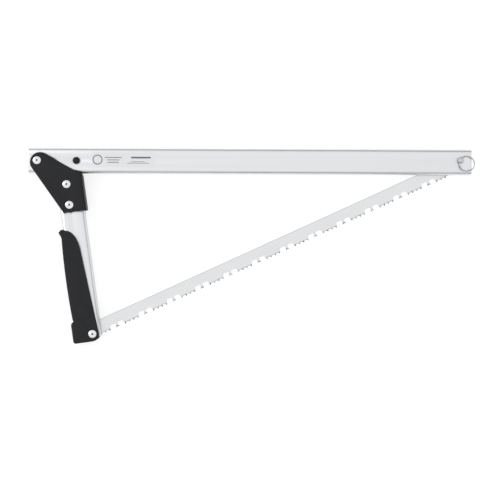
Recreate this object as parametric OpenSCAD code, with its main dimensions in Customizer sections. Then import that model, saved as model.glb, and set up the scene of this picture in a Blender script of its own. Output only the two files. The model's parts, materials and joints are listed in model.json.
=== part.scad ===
// Folding bow saw: a slotted frame tube that stows the blade, a folding handle
// channel with a moulded knuckle, and an over-centre tension lever.
// The saw lies on its side: X runs along the tube, Y up to the tube's back,
// Z through its thickness, with Z = 0 at the lowest rivet heads.

/* [Frame tube] */
// Length of the frame tube
tube_length = 554; // [550:1:570]
// Depth of the frame tube, from its back to its slot
tube_depth = 31.75; // [31:0.25:33]
// Thickness of the frame tube and of the handle channel
tube_thickness = 19; // [18:0.5:20]
// Wall of the frame tube and of the handle channel
wall = 1.6; // [1.4:0.1:2]
// Outer corner radius of the tube and the channel
corner_r = 5; // [3:0.5:6]
// Width of the slot that the blade passes through
slot_width = 6.4; // [5:0.2:8]
// Handle pivot, measured in from the end of the tube
pivot_inset = 11; // [10:0.5:14]

/* [Blade] */
// Distance between the blade's pin hole and its hook
blade_span = 519; // [517:1:521]
// Angle between the blade and the tube
blade_angle = 24.7; // [24.4:0.1:25]
// Thickness of the blade
blade_thickness = 0.8; // [0.7:0.1:1]
// Hole line to the blade's back
blade_back = 5.9; // [5.5:0.1:6.2]
// Blade's back to the tips of the cutting teeth
blade_depth = 18.5; // [17.5:0.1:19]
// Number of raker teeth
rakers = 12; // [10:1:12]
// Distance from one raker to the next
raker_pitch = 39.04; // [38.5:0.02:39.1]

/* [Handle] */
// Lean of the handle, away from square to the tube
handle_tilt = 8; // [7:0.5:9]
// Width of the handle channel
handle_width = 30.5; // [30:0.5:31.5]
// Handle pivot to the channel's centre line
handle_offset = 34.45; // [34:0.05:35]
// Where the channel starts, along the handle from its pivot
handle_start = 25; // [25:0.5:28]
// Where the channel ends, along the handle from its pivot
handle_end = 228.6; // [228:0.2:229]
// Handle pivot to the lever pivot, along the handle
lever_pivot_along = 224.3; // [223.5:0.1:225]
// Handle pivot to the lever pivot, across the handle
lever_pivot_across = 39.5; // [39:0.1:40]

/* [Moulded parts] */
// Thickness of the knuckle's and the lever's cheeks
cheek = 3; // [2.5:0.1:3.4]
// Gap between a cheek and the metal that it slides over
cheek_gap = 0.3; // [0.2:0.05:0.4]
// Radius of the knuckle's round lobe at the handle pivot
lobe_r = 12.6; // [12:0.1:13]
// Length of the knuckle, along the handle from its pivot
knuckle_end = 70; // [68:0.5:74]
// Outer face of the knuckle's spine, across the handle from its pivot
spine_across = 53.1; // [52.6:0.1:54]

/* [Fasteners] */
// Diameter of a rivet head
rivet_head = 10; // [9:0.1:10.4]
// Diameter of a rivet shank
rivet_shank = 4.8; // [4:0.1:5]
// Diameter of the clevis pin
pin_diameter = 6.35; // [6:0.05:6.5]
// Blade pin, along the tube from the handle pivot
pin_along = 529.1; // [528:0.1:530]
// Blade pin, above the tube's centre line
pin_rise = 2.06; // [1.5:0.02:2.5]
// Radius of the split ring, to the middle of its wire
ring_r = 9.3; // [9:0.1:10]
// Diameter of the split ring's wire
ring_wire = 1.1; // [1:0.05:1.15]
// Set screw, along the tube from the handle pivot
screw_along = 48.8; // [46:0.2:52]
// Diameter of the set screw's head
screw_head = 8.4; // [8:0.1:9]

/* [Hidden] */

// Middle of the saw's outline, seen from the handle pivot
outline_middle = [268, -106.5];
// Half thicknesses, out from the blade's plane
half_tube = tube_thickness / 2;
cheek_inner = half_tube + cheek_gap;
cheek_outer = cheek_inner + cheek;
rivet_head_h = 1.6;
rivet_play = 0.1;
half_saw = cheek_outer + rivet_play + rivet_head_h;
inner_face = half_tube - wall;
through = 60;
skin = 0.01;

// Running fit of a pin or shank in a moving part, on the radius
running = 0.05;
shank_r = rivet_shank / 2;
rivet_bore_r = 1.2;
rivet_rise = 1.1;
bulb_r = 3.7;
bulb_h = 2.4;
bulb_edge = 0.7;
mandrel_r = 1.2;
mandrel_head_r = 1.9;
mandrel_head_h = 1.6;
mandrel_depth = 1.3;

// Knuckle outline, across and along the handle
lobe_centre = [3.4, -2.86];
knuckle_shoulder = [48.5, -21.7];
spine_top = [51.2, -23];
spine_corner = [spine_across, -25.2];
knuckle_foot_across = 24.1;
knuckle_foot_r = 1.5;
stop_gap = 0.2;
spine_gap = 0.3;
handle_right = handle_offset + handle_width / 2;
handle_left = handle_offset - handle_width / 2;
rivet_line_across = 32.6;
upper_rivet_along = 34.6;
lower_rivet_along = 60.7;

// Lever outline, across and along the handle
lever_gap = 0.2;
grip_top = 101;
grip_foot = 204;
grip_edge = 17.2;
grip_bulge = 1.6;
heel_across = 13.9;
heel_top = 210.5;
heel_end = 233.7;
lever_nose_r = 8.5;
lever_back_r = 4;
roundel = [32.4, -195.8];
roundel_r = 10.6;
roundel_line = 1;
roundel_depth = 0.25;
stud_r = 2.5;
stud_gap = 0.3;
stud_socket = 1.6;
notch_top = 213;
notch_clear = 9;

// Pin, ring and screw
pin_clear = 0.075;
washer_h = 1.6;
washer_r = 6.4;
pin_head_r = 5.2;
pin_edge = 0.7;
pin_end = 14.2;
cross_hole_r = 1.65;
cross_hole_z = 11.15;
ring_lean = -28.4;
ring_offset = 0.27;
ring_pitch = 1.55;
ring_sides = 6;
ring_steps = 24;
ring_start = 0.1;
ring_stop = 1.9;
bush_r = 5;
blade_side_gap = 0.15;
nut_r = 5;
nut_h = 4;
screw_r = 3;
screw_tip = 0.7;
screw_head_h = 3.3;
screw_gap = 0.3;
screw_dome_r = 5.6;
screw_slot = [1.3, 1.4];
screw_slot_lean = 45;
label_size = [78.8, 17.5];
label_centre = [107.9, 1.5];
label_thickness = 0.15;

// Blade outline, measured from the pin hole, tip line downwards
first_raker = 47.25;
tooth_pitch = 5.76;
tooth_half_angle = 24;
tooth_tip = 0.3;
valley_depth = 14.5;
raker_depth = 18.1;
raker_notch = 17;
raker_tip_half = 2.25;
raker_neck_half = 1.6;
gullet_r = 3.3;
gullet_depth = 12.5;
plain_end_depth = 14;
blade_tail = 7;
blade_nose = 6;
hook_width = 5.4;
end_cut = 3.5;

blade_pin = [pin_along, pin_rise];
hook = blade_pin - blade_span * [cos(blade_angle), sin(blade_angle)];
// The hook's place across and along the handle, seen from the handle pivot
hook_local = [
    hook[0] * cos(handle_tilt) + hook[1] * sin(handle_tilt),
    hook[1] * cos(handle_tilt) - hook[0] * sin(handle_tilt)
];
lever_pivot = [lever_pivot_across, -lever_pivot_along];

// Points on an arc, from angle a to angle b
function arc(c, r, a, b, n) =
    [for (i = [0 : n]) c + r * [cos(a + (b - a) * i / n), sin(a + (b - a) * i / n)]];

// Points on a quadratic curve from p to r, drawn towards q
function curve(p, q, r, n) =
    [for (i = [0 : n]) let (t = i / n) (1 - t) * (1 - t) * p + 2 * t * (1 - t) * q + t * t * r];

// Point where a line from p touches a circle, on the side given by 1 or -1
function touch(c, r, p, side) =
    let (
        d = norm(p - c),
        heading = atan2(p[1] - c[1], p[0] - c[0]),
        swing = acos(r / d)
    )
    c + r * [cos(heading + side * swing), sin(heading + side * swing)];

// The saw's own frame, from drawings centred on the handle pivot
module placed() {
    translate([-outline_middle[0], -outline_middle[1], half_saw]) children();
}

// The handle's frame: x across it, -y along it from the pivot
module on_handle() {
    placed() rotate([0, 0, handle_tilt]) children();
}

// The same thing on the front, or mirrored onto the back
module on_side(front) {
    if (front) {
        children();
    } else {
        mirror([0, 0, 1]) children();
    }
}

module rounded_rect(w, h, r) {
    square([w - 2 * r, h], center = true);
    square([w, h - 2 * r], center = true);
    for (x = [-1, 1], y = [-1, 1])
        translate([x * (w / 2 - r), y * (h / 2 - r)]) circle(r, $fn = 48);
}

// Section of the tube or the channel, with its slot on the +x side
module channel_section(depth) {
    difference() {
        rounded_rect(depth, tube_thickness, corner_r);
        rounded_rect(depth - 2 * wall, tube_thickness - 2 * wall, corner_r - wall);
        translate([depth / 2 - 2 * wall, -slot_width / 2]) square([3 * wall, slot_width]);
    }
}

// Blind rivet: head on top of z = 0, its shank through the grip and its bulb beyond
module blind_rivet(grip) {
    dome_r = (pow(rivet_head / 2, 2) + pow(rivet_rise, 2)) / (2 * rivet_rise);
    rim = asin(rivet_head / 2 / dome_r);
    bore = asin(rivet_bore_r / dome_r);
    color("silver")
    rotate_extrude($fn = 64) polygon(concat(
        arc([0, rivet_head_h - dome_r], dome_r, 90 - bore, 90 - rim, 8),
        [
            [rivet_head / 2, 0], [shank_r, 0], [shank_r, -grip],
            [bulb_r - bulb_edge, -grip], [bulb_r, -grip - bulb_edge],
            [bulb_r, -grip - bulb_h + bulb_edge], [bulb_r - bulb_edge, -grip - bulb_h],
            [rivet_bore_r, -grip - bulb_h]
        ]
    ));
}

// Broken-off mandrel that stays in a set blind rivet
module mandrel(grip) {
    reach = grip + bulb_h;
    color("dimgray")
    rotate_extrude($fn = 32) polygon([
        [0, -mandrel_depth], [mandrel_r, -mandrel_depth], [mandrel_r, -reach],
        [mandrel_head_r, -reach], [mandrel_r, -reach - mandrel_head_h], [0, -reach - mandrel_head_h]
    ]);
}

pivot_head_z = cheek_outer + rivet_play;
pivot_grip = pivot_head_z - inner_face;
bracket_grip = cheek_outer - inner_face;

module backbone_tube() {
    color("lightgray")
    placed() difference() {
        translate([-pivot_inset, 0, 0]) rotate([90, 0, 90])
            linear_extrude(tube_length) mirror([1, 0]) channel_section(tube_depth);
        cylinder(r = shank_r, h = through, center = true, $fn = 48);
        translate([pin_along, pin_rise, 0])
            cylinder(r = pin_diameter / 2 + pin_clear, h = through, center = true, $fn = 48);
        translate([screw_along, 0, 0]) cylinder(r = screw_r + 0.2, h = through, $fn = 48);
    }
}

module pivot_rivet(front) {
    placed() on_side(front) translate([0, 0, pivot_head_z]) blind_rivet(pivot_grip);
}

module pivot_rivet_mandrels() {
    for (front = [true, false])
        placed() on_side(front) translate([0, 0, pivot_head_z]) mandrel(pivot_grip);
}

// Round clinch nut inside the front wall
module screw_nut() {
    color("darkgray")
    placed() translate([screw_along, 0, inner_face - nut_h]) difference() {
        cylinder(r = nut_r, h = nut_h, $fn = 48);
        translate([0, 0, -1]) cylinder(r = screw_r + running, h = nut_h + 2, $fn = 48);
    }
}

// Bush that keeps the blade in the middle of the tube
module blade_bush(front) {
    start = blade_thickness / 2 + blade_side_gap;
    color("whitesmoke")
    placed() on_side(front) translate([pin_along, pin_rise, start]) difference() {
        cylinder(r = bush_r, h = inner_face - start, $fn = 48);
        translate([0, 0, -1]) cylinder(r = pin_diameter / 2 + pin_clear, h = through, $fn = 48);
    }
}

module info_label() {
    color("white")
    placed() translate([label_centre[0], label_centre[1], half_tube])
        linear_extrude(label_thickness) square(label_size, center = true);
}

module handle_channel() {
    color("lightgray")
    on_handle() difference() {
        translate([handle_offset, -handle_start, 0]) rotate([90, 0, 0])
            linear_extrude(handle_end - handle_start) channel_section(handle_width);
        for (along = [upper_rivet_along, lower_rivet_along])
            translate([rivet_line_across, -along, 0])
                cylinder(r = shank_r, h = through, center = true, $fn = 48);
        translate([lever_pivot[0], lever_pivot[1], 0])
            cylinder(r = shank_r, h = through, center = true, $fn = 48);
        // Corner cut away for the swing of the blade studs
        translate([handle_left - 1, -handle_end - 1, -half_tube - 1])
            cube([
                lever_pivot_across - notch_clear - handle_left + 1,
                handle_end - notch_top + 1,
                tube_thickness + 2
            ]);
    }
}

module knuckle_outline() {
    foot = [knuckle_foot_across, -knuckle_end];
    polygon(concat(
        [
            touch(lobe_centre, lobe_r, knuckle_shoulder, 1),
            knuckle_shoulder, spine_top, spine_corner
        ],
        arc([spine_across - knuckle_foot_r, -knuckle_end + knuckle_foot_r], knuckle_foot_r, 0, -90, 4),
        [foot, touch(lobe_centre, lobe_r, foot, -1)]
    ));
    translate(lobe_centre) circle(lobe_r, $fn = 96);
}

// Section of the knuckle across the handle: two cheeks and a rounded spine
module knuckle_section() {
    reach = 40;
    difference() {
        union() {
            translate([-reach, -cheek_outer])
                square([spine_across + reach - corner_r, 2 * cheek_outer]);
            translate([spine_across - reach, 0]) rounded_rect(2 * reach, 2 * cheek_outer, corner_r);
        }
        translate([-reach - 1, -cheek_inner])
            square([handle_right + spine_gap + reach + 1, 2 * cheek_inner]);
    }
}

module knuckle_bracket() {
    color([0.16, 0.16, 0.17])
    on_handle() difference() {
        union() {
            intersection() {
                linear_extrude(2 * cheek_outer, center = true) knuckle_outline();
                translate([0, 40, 0]) rotate([90, 0, 0]) linear_extrude(knuckle_end + 50) knuckle_section();
            }
            // Pads that bear on the channel, while the tube keeps its gap
            for (front = [true, false])
                on_side(front) translate([0, 0, half_tube]) intersection() {
                    linear_extrude(cheek_gap + skin) knuckle_outline();
                    translate([handle_left, -knuckle_end, 0])
                        cube([handle_width, knuckle_end - handle_start, cheek_gap + skin]);
                }
        }
        // Top of the spine, cut level so that it stops on the tube
        rotate([0, 0, -handle_tilt])
            translate([0, -tube_depth / 2 - stop_gap, -cheek_inner])
                cube([90, 40, 2 * cheek_inner]);
        cylinder(r = shank_r + running, h = through, center = true, $fn = 48);
        for (along = [upper_rivet_along, lower_rivet_along])
            translate([rivet_line_across, -along, 0])
                cylinder(r = shank_r, h = through, center = true, $fn = 48);
    }
}

module bracket_rivet(front, along) {
    on_handle() on_side(front)
        translate([rivet_line_across, -along, cheek_outer]) blind_rivet(bracket_grip);
}

module bracket_rivet_mandrels() {
    for (front = [true, false], along = [upper_rivet_along, lower_rivet_along])
        on_handle() on_side(front)
            translate([rivet_line_across, -along, cheek_outer]) mandrel(bracket_grip);
}

module lever_rivet(front) {
    on_handle() on_side(front)
        translate([lever_pivot[0], lever_pivot[1], pivot_head_z]) blind_rivet(pivot_grip);
}

module lever_rivet_mandrels() {
    for (front = [true, false])
        on_handle() on_side(front)
            translate([lever_pivot[0], lever_pivot[1], pivot_head_z]) mandrel(pivot_grip);
}

module lever_outline() {
    grip_middle = (grip_top + grip_foot) / 2;
    grip_half = (grip_foot - grip_top) / 2;
    polygon(concat(
        [[heel_across, -93.5], [18.2, -90.1], [20, -92.2]],
        curve([23.2, -92], [36.3, -94], [38.3, -119.3], 8),
        arc(lever_pivot - [0.5, 0.7], lever_nose_r, 5, -85, 9),
        [[lever_pivot_across - 5, -heel_end]],
        arc([heel_across + 3.6, -heel_end + 3.4], 3.4, -90, -176, 5),
        [[heel_across, -heel_top], [15.2, -207.9], [18, -205.8]],
        [for (i = [0 : 10]) let (along = grip_foot - 2 * grip_half * i / 10)
            [grip_edge - grip_bulge * (1 - pow((along - grip_middle) / grip_half, 2)), -along]],
        [[16.3, -98.2]]
    ));
}

module tension_lever() {
    reach = 40;
    color([0.14, 0.14, 0.15])
    on_handle() difference() {
        intersection() {
            linear_extrude(2 * cheek_outer, center = true) lever_outline();
            // Rounded back of the grip
            translate([heel_across + reach, -80, 0]) rotate([90, 0, 0])
                linear_extrude(heel_end - 70) rounded_rect(2 * reach, 2 * cheek_outer, lever_back_r);
        }
        // Room for the handle channel
        translate([handle_left - lever_gap, -heel_end - 10, -cheek_inner])
            cube([60, heel_end - 60, 2 * cheek_inner]);
        translate([lever_pivot[0], lever_pivot[1], 0])
            cylinder(r = shank_r + running, h = through, center = true, $fn = 48);
        translate([hook_local[0], hook_local[1], 0])
            cylinder(r = stud_r, h = 2 * (cheek_inner + stud_socket), center = true, $fn = 48);
        // Plain sunk circle on the front cheek
        translate([roundel[0], roundel[1], cheek_outer - roundel_depth]) difference() {
            cylinder(r = roundel_r, h = 1, $fn = 96);
            translate([0, 0, -1]) cylinder(r = roundel_r - roundel_line, h = 3, $fn = 96);
        }
    }
}

// Half stud beside the blade's hook, set in the lever's cheek
module blade_stud(front) {
    start = blade_thickness / 2 + stud_gap;
    color("gray")
    on_handle() on_side(front) translate([hook_local[0], hook_local[1], start])
        cylinder(r = stud_r, h = cheek_inner + stud_socket - start, $fn = 48);
}

// One cutting tooth, tip down, on the blade's back line
module cutting_tooth() {
    rise = blade_depth - gullet_depth;
    spread = rise * tan(tooth_half_angle);
    translate([0, -blade_depth]) polygon([
        [-tooth_tip / 2, 0], [tooth_tip / 2, 0],
        [tooth_tip / 2 + spread, rise], [-tooth_tip / 2 - spread, rise]
    ]);
}

// One raker, two chisel tips on a waisted neck
module raker_tooth() {
    polygon([
        [-raker_neck_half - 0.6, -gullet_depth], [-raker_neck_half, -gullet_depth - 2.2],
        [-raker_tip_half, -raker_depth], [0, -raker_notch], [raker_tip_half, -raker_depth],
        [raker_neck_half, -gullet_depth - 2.2], [raker_neck_half + 0.6, -gullet_depth]
    ]);
}

// Blade in its own frame: pin hole at the origin, back up, hook to the left
module blade_outline() {
    tooth_reach = 1.5 * tooth_pitch;
    far_raker = first_raker + (rakers - 1) * raker_pitch;
    teeth_run = raker_pitch / 2;
    hook_end = blade_span + blade_nose;
    translate([0, blade_back]) difference() {
        union() {
            // Strip above the gullets, with cut corners at both ends
            polygon([
                [blade_tail, -end_cut], [blade_tail - end_cut, 0],
                [-hook_end + end_cut, 0], [-hook_end, -end_cut],
                [-hook_end, -plain_end_depth + 2], [-hook_end + 2, -plain_end_depth],
                [-far_raker - teeth_run - 8, -plain_end_depth],
                [-far_raker - teeth_run - 6, -gullet_depth],
                [-first_raker + teeth_run + 6, -gullet_depth],
                [-first_raker + teeth_run + 8, -plain_end_depth],
                [blade_tail - 2, -plain_end_depth], [blade_tail, -plain_end_depth + 2]
            ]);
            for (i = [0 : rakers - 1]) translate([-first_raker - i * raker_pitch, 0]) raker_tooth();
            // Land that each group of teeth stands on
            for (i = [0 : rakers]) translate([-first_raker + teeth_run - i * raker_pitch, -valley_depth])
                square([2 * tooth_reach + 1, 2 * (valley_depth - gullet_depth)], center = true);
            for (i = [0 : rakers], k = [-1.5 : 1 : 1.5])
                if (i > 0 && i < rakers || i == 0 && k < 1 || i == rakers && k > -1)
                    translate([-first_raker + teeth_run - i * raker_pitch + k * tooth_pitch, 0])
                        cutting_tooth();
        }
        // Round gullets on both sides of each raker
        for (i = [0 : rakers - 1], side = [-1, 1])
            translate([
                -first_raker - i * raker_pitch + side * (raker_neck_half + gullet_r),
                -gullet_depth - gullet_r
            ]) circle(gullet_r, $fn = 48);
        translate([-blade_span, -blade_back]) circle(hook_width / 2, $fn = 48);
        translate([-blade_span - hook_width / 2, -through]) square([hook_width, through - blade_back]);
    }
}

module saw_blade() {
    color("gainsboro")
    placed() translate([pin_along, pin_rise, 0]) rotate([0, 0, blade_angle]) difference() {
        linear_extrude(blade_thickness, center = true) blade_outline();
        cylinder(r = pin_diameter / 2 + pin_clear, h = 10, center = true, $fn = 48);
    }
}

// Slotted screw with a domed head; its tip stands off the stowed blade
module set_screw() {
    head_z = half_tube + screw_gap;
    dome_rim = asin(screw_head / 2 / screw_dome_r);
    color([0.1, 0.1, 0.11])
    placed() translate([screw_along, 0, 0]) difference() {
        rotate_extrude($fn = 64) polygon(concat(
            [[0, screw_tip], [screw_r - 0.6, screw_tip], [screw_r, screw_tip + 0.6], [screw_r, head_z]],
            [[screw_head / 2, head_z]],
            arc([0, head_z + screw_head_h - screw_dome_r], screw_dome_r, 90 - dome_rim, 90, 8)
        ));
        translate([0, 0, head_z + screw_head_h]) rotate([0, 0, screw_slot_lean])
            cube([screw_head + 2, screw_slot[0], 2 * screw_slot[1]], center = true);
    }
}

// Headed pin with a cross hole for the split ring
module clevis_pin() {
    under_head = -half_tube - rivet_play - washer_h;
    color("silver")
    placed() translate([pin_along, pin_rise, 0]) difference() {
        rotate_extrude($fn = 64) polygon([
            [0, -half_saw], [pin_head_r - pin_edge, -half_saw], [pin_head_r, -half_saw + pin_edge],
            [pin_head_r, under_head], [pin_diameter / 2, under_head],
            [pin_diameter / 2, pin_end - pin_edge], [pin_diameter / 2 - pin_edge, pin_end], [0, pin_end]
        ]);
        translate([0, 0, cross_hole_z]) rotate([0, 0, ring_lean]) rotate([90, 0, 0])
            cylinder(r = cross_hole_r, h = 20, center = true, $fn = 48);
    }
}

module pin_washer() {
    color("silver")
    placed() translate([pin_along, pin_rise, -half_tube - rivet_play - washer_h]) difference() {
        cylinder(r = washer_r, h = washer_h, $fn = 64);
        translate([0, 0, -1]) cylinder(r = pin_diameter / 2 + pin_clear, h = washer_h + 2, $fn = 48);
    }
}

// Height of the ring's wire after t turns: two flat turns with one short step
function ring_rise(t) = ring_pitch * (t < 0.9 ? -0.5 : t > 1.1 ? 0.5 : (t - 1) / 0.2);

// The middle of the ring's wire after t turns
function ring_point(t) = [ring_r * cos(360 * t), ring_r * sin(360 * t), ring_rise(t)];

// Least gap between the ring's two turns, from points half a turn or more apart
ring_count = round(ring_steps * (ring_stop - ring_start));
ring_turns = [for (i = [0 : ring_count]) ring_start + (ring_stop - ring_start) * i / ring_count];
ring_gap = min([for (s = ring_turns, t = ring_turns) if (t - s > 0.5)
    norm(ring_point(t) - ring_point(s)) - ring_wire]);
echo(ring_gap = ring_gap);

// Split ring: one unbroken wire that goes round almost twice
module split_ring() {
    count = ring_count;
    points = [for (t = ring_turns, k = [0 : ring_sides - 1])
        let (
            r = ring_r + ring_wire / 2 * cos(360 * k / ring_sides),
            z = ring_rise(t) + ring_wire / 2 * sin(360 * k / ring_sides)
        )
        [r * cos(360 * t), r * sin(360 * t), z]];
    sides = [for (i = [0 : count - 1], k = [0 : ring_sides - 1])
        let (
            a = i * ring_sides + k,
            b = i * ring_sides + (k + 1) % ring_sides
        )
        each [[a, a + ring_sides, b], [b, a + ring_sides, b + ring_sides]]];
    last = count * ring_sides;
    caps = [for (k = [1 : ring_sides - 2])
        each [[0, k, k + 1], [last, last + k + 1, last + k]]];
    color("slategray")
    placed() translate([pin_along, pin_rise, cross_hole_z]) rotate([0, 0, ring_lean])
        translate([ring_r - ring_offset, 0, 0]) polyhedron(points, concat(sides, caps));
}

backbone_tube();
pivot_rivet(true);  // pivot_rivet_front
pivot_rivet(false);  // pivot_rivet_back
pivot_rivet_mandrels();
screw_nut();
blade_bush(true);  // blade_bush_front
blade_bush(false);  // blade_bush_back
info_label();
handle_channel();
knuckle_bracket();
bracket_rivet(true, upper_rivet_along);  // bracket_rivet_front_upper
bracket_rivet(true, lower_rivet_along);  // bracket_rivet_front_lower
bracket_rivet(false, upper_rivet_along);  // bracket_rivet_back_upper
bracket_rivet(false, lower_rivet_along);  // bracket_rivet_back_lower
bracket_rivet_mandrels();
lever_rivet(true);  // lever_rivet_front
lever_rivet(false);  // lever_rivet_back
lever_rivet_mandrels();
tension_lever();
blade_stud(true);  // blade_stud_front
blade_stud(false);  // blade_stud_back
saw_blade();
set_screw();
clevis_pin();
pin_washer();
split_ring();
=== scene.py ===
"""Finishes for a folding bow saw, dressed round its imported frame."""

import json
import math

import bmesh
import bpy
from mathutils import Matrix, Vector


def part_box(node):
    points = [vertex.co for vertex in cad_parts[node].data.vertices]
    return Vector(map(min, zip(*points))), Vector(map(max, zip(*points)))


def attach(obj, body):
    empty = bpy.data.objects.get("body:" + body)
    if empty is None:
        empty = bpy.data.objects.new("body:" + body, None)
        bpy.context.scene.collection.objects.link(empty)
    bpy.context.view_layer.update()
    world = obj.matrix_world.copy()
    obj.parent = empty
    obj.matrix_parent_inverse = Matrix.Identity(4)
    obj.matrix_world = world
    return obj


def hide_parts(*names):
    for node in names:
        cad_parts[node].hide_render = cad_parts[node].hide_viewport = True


bl_info = {
    "name": "Folding bow saw",
    "version": (1, 0, 0),
    "blender": (4, 5, 0),
    "location": "View3D > Sidebar > Saw",
    "description": "Models and finishes a folding bow saw on its packed frame",
    "category": "Object",
}

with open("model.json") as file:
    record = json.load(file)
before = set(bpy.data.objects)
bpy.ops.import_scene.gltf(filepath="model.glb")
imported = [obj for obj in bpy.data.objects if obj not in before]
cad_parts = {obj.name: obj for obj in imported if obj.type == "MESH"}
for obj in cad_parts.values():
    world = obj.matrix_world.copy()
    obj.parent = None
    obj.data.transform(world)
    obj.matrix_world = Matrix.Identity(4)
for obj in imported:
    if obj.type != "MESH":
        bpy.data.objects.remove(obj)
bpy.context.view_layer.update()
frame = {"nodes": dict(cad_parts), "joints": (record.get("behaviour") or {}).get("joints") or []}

JOINTS = {joint["name"]: joint for joint in frame["joints"]}
HANDLE_PIVOT = Vector(JOINTS["handle_fold"]["pos_m"])
BLADE_PIN = Vector(JOINTS["blade_fold"]["pos_m"])
RING_PIVOT = Vector(JOINTS["ring_swing"]["pos_m"])
RING_AXIS = Vector(JOINTS["ring_swing"]["axis"])
HANDLE_TILT = math.radians(8.0)
BLADE_ANGLE = math.radians(24.7)
# How far the blade's back, tooth valleys and tooth tips lie from the line through its two holes
BLADE_BACK = 0.0058
BLADE_VALLEY = 0.0086
BLADE_TIP = 0.0126
TOOTH_PITCH = 0.00576
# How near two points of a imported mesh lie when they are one, and how flat an edge is when it goes
MERGE_DISTANCE = 0.000002
FLAT_ANGLE = math.radians(0.5)
RIVETS = {
    "handle": [
        "bracket_rivet_front_upper", "bracket_rivet_front_lower",
        "bracket_rivet_back_upper", "bracket_rivet_back_lower",
        "lever_rivet_front", "lever_rivet_back",
    ],
    "frame": ["pivot_rivet_front", "pivot_rivet_back"],
}


def size(label, description, default):
    """A length property in metres."""
    return bpy.props.FloatProperty(
        name=label, description=description, default=default,
        min=0.0, subtype="DISTANCE", unit="LENGTH", precision=5,
    )


def tint(label, description, default):
    """A colour property."""
    return bpy.props.FloatVectorProperty(
        name=label, description=description, default=default,
        size=3, min=0.0, max=1.0, subtype="COLOR",
    )


class SawSizes(bpy.types.PropertyGroup):
    """Sizes of the details that the frame leaves plain."""

    tube_edge: size("Tube edge", "Broken edge at the ends of the extrusions", 0.0003)
    moulded_edge: size("Moulded edge", "Round rim of the black mouldings", 0.0008)
    moulded_arris: size("Moulded arris", "Small edges inside the black mouldings", 0.0001)
    fastener_edge: size("Fastener edge", "Round edge of the rivets, the pin and the screw", 0.00015)
    tooth_set: size("Tooth set", "How far a cutting tooth leans out of the blade", 0.00028)
    wire: size("Ring wire", "Diameter of the split ring's wire", 0.0011)
    label_edge: size("Label corner", "Corner radius of the label film", 0.0012)


class SawColours(bpy.types.PropertyGroup):
    """Colours of the saw's finishes."""

    aluminium: tint("Aluminium", "Frame tube and handle channel", (0.80, 0.81, 0.825))
    plastic: tint("Plastic", "Knuckle and lever", (0.0105, 0.0108, 0.0125))
    blade: tint("Blade", "Saw blade", (0.80, 0.805, 0.81))
    # The tooth colour is painted shade: near black, it darkens the blade's tooth tips for the shade on their
    # filed bevels, and the band along its back edge.
    tooth: tint("Tooth", "Filed face of a tooth", (0.07, 0.072, 0.08))
    rivet: tint("Rivet", "Rivet heads", (0.86, 0.86, 0.87))
    steel: tint("Steel", "Pin, washer, ring and studs", (0.62, 0.63, 0.64))
    screw: tint("Screw", "Black oxide of the set screw", (0.018, 0.018, 0.019))
    print_grey: tint("Print", "Print on the label film", (0.06, 0.065, 0.075))


class Wire:
    """The value on a socket; Python's operators extend it with Math nodes."""

    def __init__(self, tree, socket):
        self.tree = tree
        self.socket = socket

    def maths(self, operation, *others):
        return self.tree.add("ShaderNodeMath", {"operation": operation}, [self, *others])

    def __add__(self, other):
        return self.maths("ADD", other)

    def __radd__(self, other):
        return self.maths("ADD", other)

    def __sub__(self, other):
        return self.maths("SUBTRACT", other)

    def __rsub__(self, other):
        return self.tree.add("ShaderNodeMath", {"operation": "SUBTRACT"}, [other, self])

    def __mul__(self, other):
        return self.maths("MULTIPLY", other)

    def __rmul__(self, other):
        return self.maths("MULTIPLY", other)

    def __truediv__(self, other):
        return self.maths("DIVIDE", other)

    def __abs__(self):
        return self.maths("ABSOLUTE")

    def rise(self, low, high):
        """0 below low, 1 above high and smooth between them."""
        inputs = {"Value": self, "From Min": low, "From Max": high}
        return self.tree.add("ShaderNodeMapRange", {"interpolation_type": "SMOOTHSTEP"}, inputs)


class Tree:
    """A node tree, and the one way that nodes are added to it."""

    # Where a Mix node keeps its factor, its two colours and the colour that it gives
    MIX_INPUTS = (0, 6, 7)
    MIX_RESULT = 2

    def __init__(self, node_tree):
        self.nodes = node_tree.nodes
        self.links = node_tree.links

    def add(self, kind, settings=None, inputs=None, output=0):
        node = self.nodes.new(kind)
        for key, value in (settings or {}).items():
            setattr(node, key, value)
        pairs = inputs.items() if isinstance(inputs, dict) else enumerate(inputs or [])
        for key, value in pairs:
            self.feed(node.inputs[key], value)
        return Wire(self, node.outputs[output])

    def feed(self, socket, value):
        if isinstance(value, Wire):
            self.links.new(value.socket, socket)
        else:
            socket.default_value = value

    def place(self, turn=0.0, centre=(0, 0, 0), stretch=(1, 1, 1)):
        """Object coordinates seen from centre, turned about Z and then stretched."""
        where = self.add("ShaderNodeTexCoord", output="Object")
        moved = self.add("ShaderNodeVectorMath", {"operation": "SUBTRACT"}, [where, tuple(centre)])
        turned = self.add("ShaderNodeMapping", inputs={"Vector": moved, "Rotation": (0, 0, -turn)})
        return self.add("ShaderNodeVectorMath", {"operation": "MULTIPLY"}, [turned, tuple(stretch)])

    def axes(self, vector):
        """The three numbers of a vector."""
        split = self.add("ShaderNodeSeparateXYZ", inputs=[vector]).socket.node
        return [Wire(self, out) for out in split.outputs]

    def noise(self, vector, scale, detail=3.0, roughness=0.5):
        inputs = {"Vector": vector, "Scale": scale, "Detail": detail, "Roughness": roughness}
        return self.add("ShaderNodeTexNoise", inputs=inputs)

    def mix(self, factor, low, high):
        """A colour between low and high."""
        inputs = dict(zip(self.MIX_INPUTS, (factor, low, high)))
        return self.add("ShaderNodeMix", {"data_type": "RGBA"}, inputs, self.MIX_RESULT)

    def bump(self, height, distance, strength=1.0):
        inputs = {"Height": height, "Distance": distance, "Strength": strength}
        return self.add("ShaderNodeBump", inputs=inputs)


def rgba(colour, shade=1.0):
    """An opaque colour, multiplied by shade."""
    return (colour[0] * shade, colour[1] * shade, colour[2] * shade, 1.0)


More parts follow.
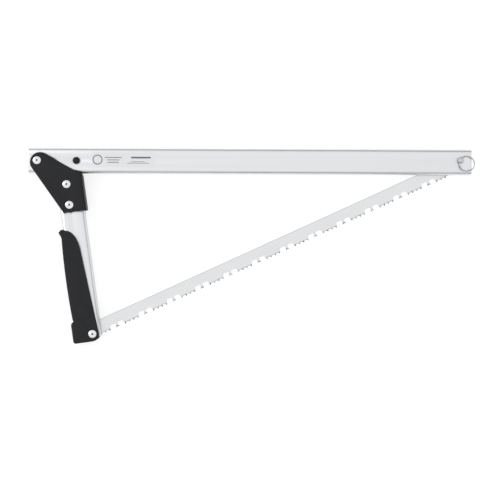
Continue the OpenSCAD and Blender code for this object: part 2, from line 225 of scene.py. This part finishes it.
def new_finish(name, **constants):
    """A material, its tree and its surface shader, with the constants on the shader's own sockets."""
    material = bpy.data.materials.new(name)
    material.use_nodes = True
    shader = material.node_tree.nodes["Principled BSDF"]
    for label, value in constants.items():
        shader.inputs[label.replace("_", " ")].default_value = value
    return material, Tree(material.node_tree), shader


def extruded_aluminium(name, colour, turn):
    """Satin aluminium with faint die lines along the extrusion and a few soft rub marks."""
    material, tree, shader = new_finish(name, Metallic=1.0)
    lines = tree.noise(tree.place(turn, HANDLE_PIVOT, (3, 900, 900)), 1.0, 2.0)
    cloud = tree.noise(tree.place(turn, HANDLE_PIVOT, (8, 60, 60)), 1.0, 4.0)
    rubs = tree.noise(tree.place(turn + 0.5, HANDLE_PIVOT, (40, 1400, 300)), 1.0, 2.0).rise(0.66, 0.72)
    shade = tree.mix(lines * 0.5 + cloud * 0.5, rgba(colour, 0.93), rgba(colour, 1.05))
    tree.feed(shader.inputs["Base Color"], shade)
    tree.feed(shader.inputs["Roughness"], 0.29 + lines * 0.10 + cloud * 0.06 - rubs * 0.04)
    tree.feed(shader.inputs["Normal"], tree.bump(lines + rubs * 0.3, 0.00002, 0.35))
    return material


def moulded_plastic(name, colour):
    """Black moulded plastic with a fine grain and soft paler patches."""
    material, tree, shader = new_finish(name, Specular_IOR_Level=0.28)
    grain = tree.noise(tree.place(), 1500.0, 4.0, 0.6)
    cloud = tree.noise(tree.place(), 28.0, 3.0)
    shade = tree.mix(cloud * 0.6 + grain * 0.4, rgba(colour, 0.8), rgba(colour, 1.35))
    tree.feed(shader.inputs["Base Color"], shade)
    tree.feed(shader.inputs["Roughness"], 0.42 + grain * 0.14 + cloud * 0.06)
    tree.feed(shader.inputs["Normal"], tree.bump(grain, 0.00006, 0.5))
    return material


def blade_steel(name, colours):
    """Ground spring steel with grinding lines along the blade, painted shade along its back edge, and
    painted shade on its tooth tips for their filed bevels, heavier on every other tooth for the set.
    """
    material, tree, shader = new_finish(name, Metallic=1.0)
    # The width of the painted shade along the back edge, and the depths between which the painted shade on
    # the tooth tips comes in.
    back_shade_width = 0.0009
    tip_shade_from, tip_shade_to = 0.0092, 0.0112
    along, up, _ = tree.axes(tree.place(BLADE_ANGLE, BLADE_PIN))
    lines = tree.noise(tree.place(BLADE_ANGLE, BLADE_PIN, (20, 1500, 1500)), 1.0, 3.0)
    cloud = tree.noise(tree.place(BLADE_ANGLE, BLADE_PIN, (30, 90, 90)), 1.0, 4.0)
    # Painted shade: a band along the blade's back edge, mixed part way towards the near-black tooth colour.
    back = up.rise(BLADE_BACK - back_shade_width, BLADE_BACK)
    # Painted shade: the tooth tips darken towards the near-black tooth colour, standing for the shade on
    # their filed bevels.
    tip_shade = (up * -1.0).rise(tip_shade_from, tip_shade_to)
    # Painted shade: every other tooth is darker still, standing for the shade of the teeth that are set away
    # from the light.
    tooth = (along / (2 * TOOTH_PITCH)).maths("FRACT").rise(0.45, 0.55)
    steel = tree.mix(lines * 0.5 + cloud * 0.5, rgba(colours.blade, 0.90), rgba(colours.blade, 1.06))
    # The painted shades go on over the steel: first the back edge's, then the tooth tips'.
    back_shaded = tree.mix(back * 0.45, steel, rgba(colours.tooth))
    tip_shaded = tree.mix(tip_shade * (0.62 + tooth * 0.32), back_shaded, rgba(colours.tooth))
    tree.feed(shader.inputs["Base Color"], tip_shaded)
    tree.feed(shader.inputs["Roughness"], 0.27 + lines * 0.10 + cloud * 0.05 + tip_shade * 0.08)
    tree.feed(shader.inputs["Normal"], tree.bump(lines, 0.00002, 0.35))
    return material


def bright_metal(name, colour, roughness):
    """Turned or plated metal with a slight cloudiness and fine scratches."""
    material, tree, shader = new_finish(name, Metallic=1.0)
    scratch = tree.noise(tree.place(0.7, stretch=(0.25, 1, 1)), 900.0, 3.0)
    cloud = tree.noise(tree.place(), 220.0, 3.0)
    tree.feed(shader.inputs["Base Color"], tree.mix(cloud, rgba(colour, 0.86), rgba(colour, 1.05)))
    tree.feed(shader.inputs["Roughness"], roughness + scratch * 0.12)
    tree.feed(shader.inputs["Normal"], tree.bump(scratch, 0.00001, 0.4))
    return material


def black_oxide(name, colour):
    """Oiled black steel with worn, paler flecks."""
    material, tree, shader = new_finish(name, Metallic=0.6)
    cloud = tree.noise(tree.place(), 700.0, 4.0)
    worn = cloud.rise(0.60, 0.72)
    tree.feed(shader.inputs["Base Color"], tree.mix(worn * 0.5, rgba(colour), rgba(colour, 5.0)))
    tree.feed(shader.inputs["Roughness"], 0.30 + cloud * 0.2)
    return material


def nylon(name):
    """Natural nylon of the blade's bushes."""
    material, tree, shader = new_finish(name, Roughness=0.5)
    cloud = tree.noise(tree.place(), 300.0, 3.0)
    tree.feed(shader.inputs["Base Color"], tree.mix(cloud, (0.78, 0.77, 0.72, 1), (0.86, 0.85, 0.81, 1)))
    return material


def printed_film(name, colours, centre):
    """Clear film over the aluminium, printed with a ring and plain bars."""
    material, tree, shader = new_finish(name)
    across, up, _ = tree.axes(tree.place(centre=centre))
    blur = 0.00012
    ring_across, ring_up, ring_radius = -0.0325, -0.0003, 0.0056
    ring_half, ring_edge = 0.00045, 0.0007
    small_half, large_half, note_half = 0.00045, 0.0010, 0.0003
    bars = (
        (-0.0235, -0.0025, 0.0024, small_half),
        (-0.0205, -0.0050, -0.0006, small_half),
        (-0.0200, -0.0060, -0.0036, small_half),
        (0.0095, 0.0340, 0.0024, large_half),
        (0.0095, 0.0265, -0.0028, note_half),
        (0.0045, 0.0320, -0.0046, note_half),
    )

    def span(value, low, high):
        """1 from low to high, with a slight blur at both."""
        return value.rise(low - blur, low + blur) * (1.0 - value.rise(high - blur, high + blur))

    dx = across - ring_across
    dy = up - ring_up
    radius = (dx * dx + dy * dy).maths("SQRT")
    ink = 1.0 - abs(radius - ring_radius).rise(ring_half, ring_edge)
    for left, right, middle, half in bars:
        bar = span(across, left, right) * span(up, middle - half, middle + half)
        ink = ink.maths("MAXIMUM", bar)
    film = rgba(colours.aluminium, 0.97)
    tree.feed(shader.inputs["Base Color"], tree.mix(ink * 0.9, film, rgba(colours.print_grey)))
    tree.feed(shader.inputs["Roughness"], 0.30 + ink * 0.15)
    tree.feed(shader.inputs["Metallic"], 0.9 - ink * 0.8)
    return material


def deselect():
    """Leaves nothing selected and Blender in object mode."""
    if bpy.context.object and bpy.context.object.mode != "OBJECT":
        bpy.ops.object.mode_set(mode="OBJECT")
    bpy.ops.object.select_all(action="DESELECT")


def activate(piece):
    deselect()
    piece.select_set(True)
    bpy.context.view_layer.objects.active = piece


def apply_modifiers(piece):
    activate(piece)
    for modifier in list(piece.modifiers):
        bpy.ops.object.modifier_apply(modifier=modifier.name)


def cad_copy(node, name):
    """A node's shape as one closed mesh with whole flat faces, ready to be finished."""
    piece = bpy.data.objects.new(name, frame["nodes"][node].data.copy())
    bpy.context.scene.collection.objects.link(piece)
    piece.data.materials.clear()
    activate(piece)
    bpy.ops.mesh.customdata_custom_splitnormals_clear()
    bpy.ops.object.mode_set(mode="EDIT")
    bpy.ops.mesh.select_all(action="SELECT")
    bpy.ops.mesh.remove_doubles(threshold=MERGE_DISTANCE)
    bpy.ops.mesh.dissolve_limited(angle_limit=FLAT_ANGLE)
    bpy.ops.object.mode_set(mode="OBJECT")
    return piece


def soften(piece, width, angle=35.0):
    """Rounds a piece's sharp edges and shades the rest smooth."""
    bevel = piece.modifiers.new("edge", "BEVEL")
    bevel.width = width
    bevel.segments = 2
    bevel.limit_method = "ANGLE"
    bevel.angle_limit = math.radians(angle)
    bevel.miter_outer = "MITER_ARC"
    apply_modifiers(piece)
    bpy.ops.object.shade_smooth_by_angle(angle=math.radians(angle - 5.0))


def round_rim(piece, width, spare=None, spare_radius=0.0):
    """Rounds the outline of both broad faces, apart from edges within a circle on a face."""
    activate(piece)
    bpy.ops.object.mode_set(mode="EDIT")
    bpy.ops.mesh.select_all(action="DESELECT")
    mesh = bmesh.from_edit_mesh(piece.data)
    mesh.select_mode = {"EDGE"}
    heights = [vertex.co.z for vertex in mesh.verts]
    faces = (min(heights), max(heights))
    slack = 0.00001
    for edge in mesh.edges:
        level = any(all(abs(v.co.z - z) < slack for v in edge.verts) for z in faces)
        tilts = sorted(abs(face.normal.z) for face in edge.link_faces)
        middle = (edge.verts[0].co + edge.verts[1].co) / 2
        spared = spare is not None and (middle - spare).xy.length < spare_radius
        edge.select_set(level and len(tilts) == 2 and tilts[0] < 0.5 < tilts[1] and not spared)
    bmesh.update_edit_mesh(piece.data)
    bpy.ops.mesh.bevel(offset=width, segments=3, clamp_overlap=False)
    bpy.ops.object.mode_set(mode="OBJECT")


def hand_over(piece, material, body, node):
    """Gives a finished piece its material and its body, and hides the node that it stands for."""
    piece.data.materials.clear()
    piece.data.materials.append(material)
    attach(piece, body)
    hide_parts(node)


def dress(node, material):
    """Puts a material on a node that keeps its own shape."""
    target = frame["nodes"][node]
    if not target.material_slots:
        target.data.materials.append(material)
    for slot in target.material_slots:
        slot.material = material


def dressed_copy(node, name, width, material, body):
    """A node's own shape with its edges rounded, handed over to its body."""
    piece = cad_copy(node, name)
    soften(piece, width)
    hand_over(piece, material, body, node)


class SAW_OT_frame_tube(bpy.types.Operator):
    """Slotted aluminium tube that stows the blade"""

    bl_idname = "saw.frame_tube"
    bl_label = "Frame tube"

    def execute(self, context):
        finish = extruded_aluminium("tube aluminium", context.scene.saw_colours.aluminium, 0.0)
        width = context.scene.saw_sizes.tube_edge
        dressed_copy("backbone_tube", "frame_tube", width, finish, "frame")
        return {"FINISHED"}


class SAW_OT_handle(bpy.types.Operator):
    """Slotted aluminium channel of the handle"""

    bl_idname = "saw.handle"
    bl_label = "Handle channel"

    def execute(self, context):
        finish = extruded_aluminium(
            "handle aluminium", context.scene.saw_colours.aluminium, HANDLE_TILT + math.pi / 2
        )
        width = context.scene.saw_sizes.tube_edge
        dressed_copy("handle_channel", "handle_extrusion", width, finish, "handle")
        return {"FINISHED"}


class SAW_OT_mouldings(bpy.types.Operator):
    """Black knuckle and tension lever"""

    bl_idname = "saw.mouldings"
    bl_label = "Knuckle and lever"

    # The disc's centre across and along the handle, and the circle in which no edge is rounded
    ROUNDEL = (0.0324, -0.1958)
    ROUNDEL_RADIUS = 0.0112

    def on_handle(self, across, along):
        """Where a point lies that is given across and along the handle from its pivot."""
        turn_x = across * math.cos(HANDLE_TILT) - along * math.sin(HANDLE_TILT)
        turn_y = across * math.sin(HANDLE_TILT) + along * math.cos(HANDLE_TILT)
        return HANDLE_PIVOT + Vector((turn_x, turn_y, 0))

    def execute(self, context):
        sizes = context.scene.saw_sizes
        finish = moulded_plastic("moulded plastic", context.scene.saw_colours.plastic)
        knuckle = cad_copy("knuckle_bracket", "knuckle")
        round_rim(knuckle, sizes.moulded_edge)
        lever = cad_copy("tension_lever", "lever")
        round_rim(lever, sizes.moulded_edge, self.on_handle(*self.ROUNDEL), self.ROUNDEL_RADIUS)
        for piece, body, node in ((knuckle, "handle", "knuckle_bracket"), (lever, "lever", "tension_lever")):
            soften(piece, sizes.moulded_arris, angle=50.0)
            hand_over(piece, finish, body, node)
        return {"FINISHED"}


class SAW_OT_rivets(bpy.types.Operator):
    """Blind rivets with the mandrels left inside them"""

    bl_idname = "saw.rivets"
    bl_label = "Rivets"

    def execute(self, context):
        colours = context.scene.saw_colours
        width = context.scene.saw_sizes.fastener_edge
        bright = bright_metal("rivet aluminium", colours.rivet, 0.20)
        # Painted shade: the mandrels' steel is darkened to a quarter, standing for the shade inside the
        # rivets' bores.
        mandrel_shade = bright_metal("shaded mandrel steel", [c * 0.25 for c in colours.steel], 0.45)
        for body, nodes in RIVETS.items():
            for node in nodes:
                dressed_copy(node, node + "_finished", width, bright, body)
        for node in ("pivot_rivet_mandrels", "bracket_rivet_mandrels", "lever_rivet_mandrels"):
            dress(node, mandrel_shade)
        return {"FINISHED"}


class SAW_OT_blade(bpy.types.Operator):
    """Saw blade with its cutting teeth set to alternate sides"""

    bl_idname = "saw.blade"
    bl_label = "Saw blade"

    FIRST_RAKER = 0.04725
    RAKER_PITCH = 0.03904
    # Half the length of the four cutting teeth between two rakers, with a little to spare
    GROUP_HALF = 2 * TOOTH_PITCH + 0.0004

    def place(self, point):
        """Where a point lies along the blade from its pin, and how deep below the hole line."""
        offset = point - BLADE_PIN
        along = -(offset.x * math.cos(BLADE_ANGLE) + offset.y * math.sin(BLADE_ANGLE))
        depth = offset.x * math.sin(BLADE_ANGLE) - offset.y * math.cos(BLADE_ANGLE)
        return along, depth

    def lean(self, point):
        """How much of the set a point takes, signed by its tooth's side."""
        along, depth = self.place(point)
        if depth <= BLADE_VALLEY:
            return 0.0
        half = self.RAKER_PITCH / 2
        across = (along - self.FIRST_RAKER) % self.RAKER_PITCH - half
        if abs(across) > self.GROUP_HALF:
            return 0.0
        side = 1 if math.floor(across / TOOTH_PITCH) % 2 else -1
        return side * (depth - BLADE_VALLEY) / (BLADE_TIP - BLADE_VALLEY)

    def execute(self, context):
        piece = cad_copy("saw_blade", "blade")
        activate(piece)
        bpy.ops.object.mode_set(mode="EDIT")
        bpy.ops.mesh.select_all(action="SELECT")
        down = Vector((math.sin(BLADE_ANGLE), -math.cos(BLADE_ANGLE), 0))
        bpy.ops.mesh.bisect(plane_co=BLADE_PIN + down * BLADE_VALLEY, plane_no=down)
        mesh = bmesh.from_edit_mesh(piece.data)
        reach = context.scene.saw_sizes.tooth_set
        for vertex in mesh.verts:
            vertex.co.z += reach * self.lean(vertex.co)
        bmesh.update_edit_mesh(piece.data)
        bpy.ops.object.mode_set(mode="OBJECT")
        bpy.ops.object.shade_smooth_by_angle(angle=math.radians(4))
        finish = blade_steel("blade steel", context.scene.saw_colours)
        hand_over(piece, finish, "blade", "saw_blade")
        return {"FINISHED"}


class SAW_OT_screw(bpy.types.Operator):
    """Black set screw and its clinch nut"""

    bl_idname = "saw.screw"
    bl_label = "Set screw"

    def execute(self, context):
        colours = context.scene.saw_colours
        width = context.scene.saw_sizes.fastener_edge
        finish = black_oxide("black oxide", colours.screw)
        dressed_copy("set_screw", "screw", width, finish, "screw")
        dress("screw_nut", bright_metal("nut steel", colours.steel, 0.3))
        return {"FINISHED"}


class SAW_OT_pin(bpy.types.Operator):
    """Clevis pin, its washer, the blade's bushes and the lever's studs"""

    bl_idname = "saw.pin"
    bl_label = "Clevis pin"

    def execute(self, context):
        steel = bright_metal("plated steel", context.scene.saw_colours.steel, 0.24)
        width = context.scene.saw_sizes.fastener_edge
        dressed_copy("clevis_pin", "pin", width, steel, "pin")
        dressed_copy("pin_washer", "washer", width, steel, "pin")
        for node in ("blade_stud_front", "blade_stud_back"):
            dress(node, steel)
        for node in ("blade_bush_front", "blade_bush_back"):
            dress(node, nylon(node + " nylon"))
        return {"FINISHED"}


class SAW_OT_split_ring(bpy.types.Operator):
    """Split ring: one round wire that goes round almost twice"""

    bl_idname = "saw.split_ring"
    bl_label = "Split ring"

    RADIUS = 0.0093
    OFFSET = 0.00027
    PITCH = 0.00155
    START = 0.06
    STOP = 1.94
    STEPS = 180
    CLIMB_START = 0.9
    CLIMB_TURNS = 0.2

    def rise(self, turns):
        """Two flat turns with one short step between them."""
        step = min(max((turns - self.CLIMB_START) / self.CLIMB_TURNS, 0.0), 1.0)
        return self.PITCH * (step * step * (3 - 2 * step) - 0.5)

    def execute(self, context):
        out = RING_AXIS.cross(Vector((0, 0, 1))) * -1.0
        side = Vector((0, 0, 1)).cross(out)
        centre = RING_PIVOT + out * (self.RADIUS - self.OFFSET)
        curve = bpy.data.curves.new("split ring", "CURVE")
        curve.dimensions = "3D"
        curve.bevel_depth = context.scene.saw_sizes.wire / 2
        curve.bevel_resolution = 4
        curve.use_fill_caps = True
        spline = curve.splines.new("POLY")
        spline.points.add(self.STEPS)
        for i, point in enumerate(spline.points):
            turns = self.START + (self.STOP - self.START) * i / self.STEPS
            angle = 2 * math.pi * turns
            place = centre + (out * math.cos(angle) + side * math.sin(angle)) * self.RADIUS
            point.co = (place.x, place.y, place.z + self.rise(turns), 1.0)
        piece = bpy.data.objects.new("ring", curve)
        context.scene.collection.objects.link(piece)
        activate(piece)
        bpy.ops.object.convert(target="MESH")
        piece = context.object
        bpy.ops.object.shade_smooth_by_angle(angle=math.radians(40))
        finish = bright_metal("ring steel", [c * 0.8 for c in context.scene.saw_colours.steel], 0.16)
        hand_over(piece, finish, "ring", "split_ring")
        return {"FINISHED"}


class SAW_OT_label(bpy.types.Operator):
    """Film with a generic print, stuck on the tube"""

    bl_idname = "saw.label"
    bl_label = "Label film"

    def execute(self, context):
        low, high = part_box("info_label")
        centre = (low + high) / 2
        extent = high - low
        deselect()
        bpy.ops.mesh.primitive_cube_add(size=1, location=centre, scale=extent)
        piece = context.object
        piece.name = "label"
        bpy.ops.object.transform_apply(location=True, rotation=True, scale=True)
        bpy.ops.object.mode_set(mode="EDIT")
        mesh = bmesh.from_edit_mesh(piece.data)
        for edge in mesh.edges:
            a, b = edge.verts
            edge.select_set(abs(a.co.z - b.co.z) > extent.z / 2)
        bmesh.update_edit_mesh(piece.data)
        bpy.ops.mesh.bevel(offset=context.scene.saw_sizes.label_edge, segments=5)
        bpy.ops.object.mode_set(mode="OBJECT")
        bpy.ops.object.shade_smooth_by_angle(angle=math.radians(30))
        finish = printed_film("printed film", context.scene.saw_colours, centre)
        hand_over(piece, finish, "frame", "info_label")
        return {"FINISHED"}


class SAW_OT_stage(bpy.types.Operator):
    """White floor, soft studio light and the camera above the saw"""

    bl_idname = "saw.stage"
    bl_label = "Stage"

    # Metres to a pixel on the saw's front face, and the picture's width in pixels
    PIXEL = 0.00125
    PICTURE = 490
    # Where the camera stands, how far it is turned, and how high above the saw's front face it is
    AIM = (-0.0078, 0.00175)
    ROLL = math.radians(0.25)
    FACE = 0.024
    DISTANCE = 1.9
    SENSOR = 36.0
    FLOOR_SIZE = 8.0
    FLOOR_GREY = (0.42, 0.42, 0.42, 1)
    FLOOR_GLOW = 0.72
    HORIZON = (0.12, 0.125, 0.13, 1)
    ZENITH = (0.98, 0.985, 0.99, 1)
    # Heights at which the ceiling starts to brighten and is brightest
    CEILING = (0.15, 0.90)
    SIDE_GLOW = 0.30
    LEFT_GLOW = 0.08
    KEY_PLACE = (-1.9, 0.5, 1.2)
    KEY_POWER = 8.0
    KEY_WIDTH = 1.0

    def floor(self):
        deselect()
        bpy.ops.mesh.primitive_plane_add(size=self.FLOOR_SIZE, location=(0, 0, 0))
        floor = bpy.context.object
        floor.name = "floor"
        material, tree, shader = new_finish("floor", Roughness=0.9, Specular_IOR_Level=0.1)
        tree.feed(shader.inputs["Base Color"], self.FLOOR_GREY)
        ray = tree.add("ShaderNodeLightPath").socket.node
        kinds = ("Is Camera Ray", "Is Glossy Ray", "Is Transmission Ray")
        seen = sum(Wire(tree, ray.outputs[kind]) for kind in kinds)
        shine = tree.add("ShaderNodeEmission", inputs={"Strength": seen * self.FLOOR_GLOW})
        both = tree.add("ShaderNodeAddShader", inputs=[Wire(tree, shader.outputs[0]), shine])
        surface = next(n for n in tree.nodes if n.type == "OUTPUT_MATERIAL")
        tree.feed(surface.inputs["Surface"], both)
        floor.data.materials.append(material)

    def world(self):
        """A ceiling of soft boxes, brightest above and to the sides, seen as white by the camera."""
        world = bpy.data.worlds.new("studio")
        world.use_nodes = True
        bpy.context.scene.world = world
        tree = Tree(world.node_tree)
        where = tree.add("ShaderNodeTexCoord", output="Generated")
        across, _, height = tree.axes(where)
        level = height + abs(across) * self.SIDE_GLOW - across * self.LEFT_GLOW
        dim = tree.mix(level.rise(*self.CEILING), self.HORIZON, self.ZENITH)
        seen = tree.add("ShaderNodeLightPath", output="Is Camera Ray")
        colour = tree.mix(seen, dim, (1, 1, 1, 1))
        background = next(n for n in tree.nodes if n.type == "BACKGROUND")
        tree.feed(background.inputs["Color"], colour)

    def lamp(self, name, place, power, width):
        data = bpy.data.lights.new(name, "AREA")
        data.energy = power
        data.size = width
        lamp = bpy.data.objects.new(name, data)
        lamp.location = place
        lamp.rotation_euler = (-Vector(place)).to_track_quat("-Z", "Y").to_euler()
        bpy.context.scene.collection.objects.link(lamp)

    def camera(self):
        data = bpy.data.cameras.new("camera")
        data.sensor_width = self.SENSOR
        data.lens = data.sensor_width * self.DISTANCE / (self.PIXEL * self.PICTURE)
        data.clip_end = 20.0
        camera = bpy.data.objects.new("camera", data)
        camera.location = (*self.AIM, self.FACE + self.DISTANCE)
        camera.rotation_euler = (0, 0, self.ROLL)
        bpy.context.scene.collection.objects.link(camera)
        bpy.context.scene.camera = camera

    def execute(self, context):
        context.scene.view_settings.view_transform = "Standard"
        self.floor()
        self.world()
        self.lamp("key", self.KEY_PLACE, self.KEY_POWER, self.KEY_WIDTH)
        self.camera()
        return {"FINISHED"}


OPERATORS = (
    SAW_OT_stage, SAW_OT_frame_tube, SAW_OT_handle, SAW_OT_mouldings, SAW_OT_rivets,
    SAW_OT_blade, SAW_OT_screw, SAW_OT_pin, SAW_OT_split_ring, SAW_OT_label,
)


class SAW_PT_pieces(bpy.types.Panel):
    """The saw's pieces, sizes and colours"""

    bl_label = "Folding bow saw"
    bl_space_type = "VIEW_3D"
    bl_region_type = "UI"
    bl_category = "Saw"

    def draw(self, context):
        layout = self.layout
        for operator in OPERATORS:
            layout.operator(operator.bl_idname)
        for group in (context.scene.saw_sizes, context.scene.saw_colours):
            for key in group.__annotations__:
                layout.prop(group, key)


CLASSES = (SawSizes, SawColours, *OPERATORS, SAW_PT_pieces)


def register():
    for cls in CLASSES:
        bpy.utils.register_class(cls)
    bpy.types.Scene.saw_sizes = bpy.props.PointerProperty(type=SawSizes)
    bpy.types.Scene.saw_colours = bpy.props.PointerProperty(type=SawColours)


def unregister():
    del bpy.types.Scene.saw_colours
    del bpy.types.Scene.saw_sizes
    for cls in reversed(CLASSES):
        bpy.utils.unregister_class(cls)


def main():
    register()
    for operator in OPERATORS:
        family, name = operator.bl_idname.split(".")
        getattr(getattr(bpy.ops, family), name)()


if __name__ == "__main__":
    main()
